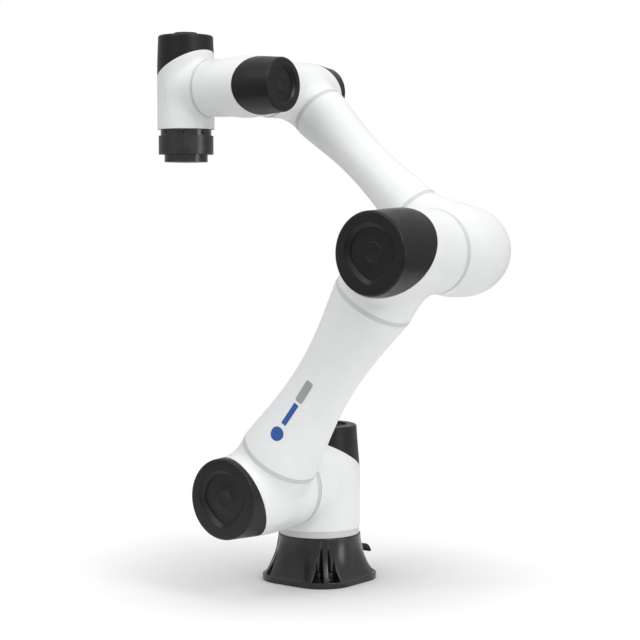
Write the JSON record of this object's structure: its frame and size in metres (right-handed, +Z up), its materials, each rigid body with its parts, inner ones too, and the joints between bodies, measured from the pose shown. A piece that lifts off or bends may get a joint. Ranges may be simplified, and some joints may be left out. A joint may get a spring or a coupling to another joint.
{
  "type": "collaborative robot arm",
  "caption": "Six-axis collaborative robot arm with white cast links, black slanted joint caps, a black flared base and a dark tool flange.",
  "frame": {"origin": "centre of the base's mounting face, on the first joint's axis", "axes": "+Z up along the first joint's axis; +X from the column out along the shoulder axis towards the upper arm; +Y the side that the elbow leans to at rest"},
  "size_m": [0.3285, 0.4934, 0.8039],
  "materials": {
    "white_shell": "satin white powder coat on cast aluminium",
    "black_cap": "fine-textured moulded plastic",
    "grey_trim": "matt light grey",
    "base_black": "satin black paint on cast aluminium",
    "connector_black": "moulded",
    "contact_block": "moulded",
    "cover_plate": "brushed",
    "flange_anodised": "dark anodised, fine turned",
    "screw_steel": "machined",
    "blue_print": "printed film",
    "grey_print": "printed film",
    "gear_steel": "ground",
    "stator_copper": "enamelled copper winding",
    "rotor_steel": "turned",
    "circuit_board": "solder mask"
  },
  "bodies": {
    "base": {"base_casting": "base_black", "base_cover": "cover_plate", "base_connector": "connector_black", "connector_insert": "contact_block"},
    "connector_lever": {"connector_latch": "connector_black"},
    "shoulder": {"base_seal_ring": "grey_trim", "shoulder_housing": "white_shell", "shoulder_cap": "black_cap", "joint1_gear": "gear_steel", "joint1_stator": "stator_copper", "joint1_board": "circuit_board"},
    "upper_arm": {"upper_arm_seal_ring": "grey_trim", "upper_arm_housing": "white_shell", "upper_arm_cap": "black_cap", "upper_arm_lower_ring": "grey_trim", "upper_arm_tube": "white_shell", "upper_arm_upper_ring": "grey_trim", "elbow_housing": "white_shell", "elbow_cap": "black_cap", "blue_label": "blue_print", "grey_label": "grey_print", "joint2_gear": "gear_steel", "joint2_stator": "stator_copper", "joint2_board": "circuit_board", "joint3_gear": "gear_steel", "joint3_stator": "stator_copper", "joint3_board": "circuit_board"},
    "forearm": {"forearm_seal_ring": "grey_trim", "forearm_housing": "white_shell", "forearm_lower_ring": "grey_trim", "forearm_tube": "white_shell", "forearm_upper_ring": "grey_trim", "wrist1_housing": "white_shell", "wrist1_cap": "black_cap", "joint4_gear": "gear_steel", "joint4_stator": "stator_copper", "joint4_board": "circuit_board"},
    "wrist2": {"wrist2_seal_ring": "grey_trim", "wrist2_housing": "white_shell", "wrist2_cap": "black_cap", "joint5_gear": "gear_steel", "joint5_stator": "stator_copper", "joint5_board": "circuit_board"},
    "wrist3": {"wrist3_seal_ring": "grey_trim", "wrist3_housing": "white_shell", "wrist3_cap": "black_cap", "joint6_gear": "gear_steel", "joint6_stator": "stator_copper", "joint6_board": "circuit_board"},
    "flange": {"flange_collar": "flange_anodised", "collar_screws": "screw_steel", "tool_flange": "flange_anodised"},
    "rotor1": {"joint1_rotor": "rotor_steel"},
    "rotor2": {"joint2_rotor": "rotor_steel"},
    "rotor3": {"joint3_rotor": "rotor_steel"},
    "rotor4": {"joint4_rotor": "rotor_steel"},
    "rotor5": {"joint5_rotor": "rotor_steel"},
    "rotor6": {"joint6_rotor": "rotor_steel"}
  },
  "joints": [
    {"name": "joint1_turn", "type": "hinge", "parent": "base", "child": "shoulder", "pos_m": [0, 0, 0], "axis": [0, 0, 1], "range_deg": [-360, 360]},
    {"name": "joint2_shoulder", "type": "hinge", "parent": "shoulder", "child": "upper_arm", "pos_m": [0, 0, 0.147], "axis": [1, 0, 0], "range_deg": [-324, 396]},
    {"name": "joint3_elbow", "type": "hinge", "parent": "upper_arm", "child": "forearm", "pos_m": [0, 0.24978, 0.49332], "axis": [1, 0, 0], "range_deg": [-236, 56]},
    {"name": "joint4_wrist", "type": "hinge", "parent": "forearm", "child": "wrist2", "pos_m": [0, -0.02149, 0.72541], "axis": [1, 0, 0], "range_deg": [-400, 320]},
    {"name": "joint5_wrist", "type": "hinge", "parent": "wrist2", "child": "wrist3", "pos_m": [0.141, 0, 0.72541], "axis": [0, 1, 0], "range_deg": [-360, 360]},
    {"name": "joint6_flange", "type": "hinge", "parent": "wrist3", "child": "flange", "pos_m": [0.141, -0.13749, 0], "axis": [0, 0, 1], "range_deg": [-360, 360]},
    {"name": "connector_lever_hinge", "type": "hinge", "parent": "base", "child": "connector_lever", "pos_m": [-0.0816, 0, 0.018], "axis": [0, 1, 0], "range_deg": [-60, 0]},
    {"name": "rotor1_spin", "type": "hinge", "parent": "shoulder", "child": "rotor1", "pos_m": [0, 0, 0], "axis": [0, 0, 1], "range_deg": [-40000, 40000]},
    {"name": "rotor2_spin", "type": "hinge", "parent": "upper_arm", "child": "rotor2", "pos_m": [0, 0, 0.147], "axis": [1, 0, 0], "range_deg": [-40000, 40000]},
    {"name": "rotor3_spin", "type": "hinge", "parent": "upper_arm", "child": "rotor3", "pos_m": [0, 0.24978, 0.49332], "axis": [1, 0, 0], "range_deg": [-40000, 40000]},
    {"name": "rotor4_spin", "type": "hinge", "parent": "forearm", "child": "rotor4", "pos_m": [0, -0.02149, 0.72541], "axis": [1, 0, 0], "range_deg": [-40000, 40000]},
    {"name": "rotor5_spin", "type": "hinge", "parent": "wrist2", "child": "rotor5", "pos_m": [0.141, 0, 0.72541], "axis": [0, 1, 0], "range_deg": [-40000, 40000]},
    {"name": "rotor6_spin", "type": "hinge", "parent": "wrist3", "child": "rotor6", "pos_m": [0.141, -0.13749, 0], "axis": [0, 0, 1], "range_deg": [-40000, 40000]}
  ],
  "couplings": [
    {"joint": "rotor1_spin", "follows": "joint1_turn", "ratio": 100},
    {"joint": "rotor2_spin", "follows": "joint2_shoulder", "ratio": 100},
    {"joint": "rotor3_spin", "follows": "joint3_elbow", "ratio": -100},
    {"joint": "rotor4_spin", "follows": "joint4_wrist", "ratio": -100},
    {"joint": "rotor5_spin", "follows": "joint5_wrist", "ratio": -100},
    {"joint": "rotor6_spin", "follows": "joint6_flange", "ratio": -100}
  ]
}
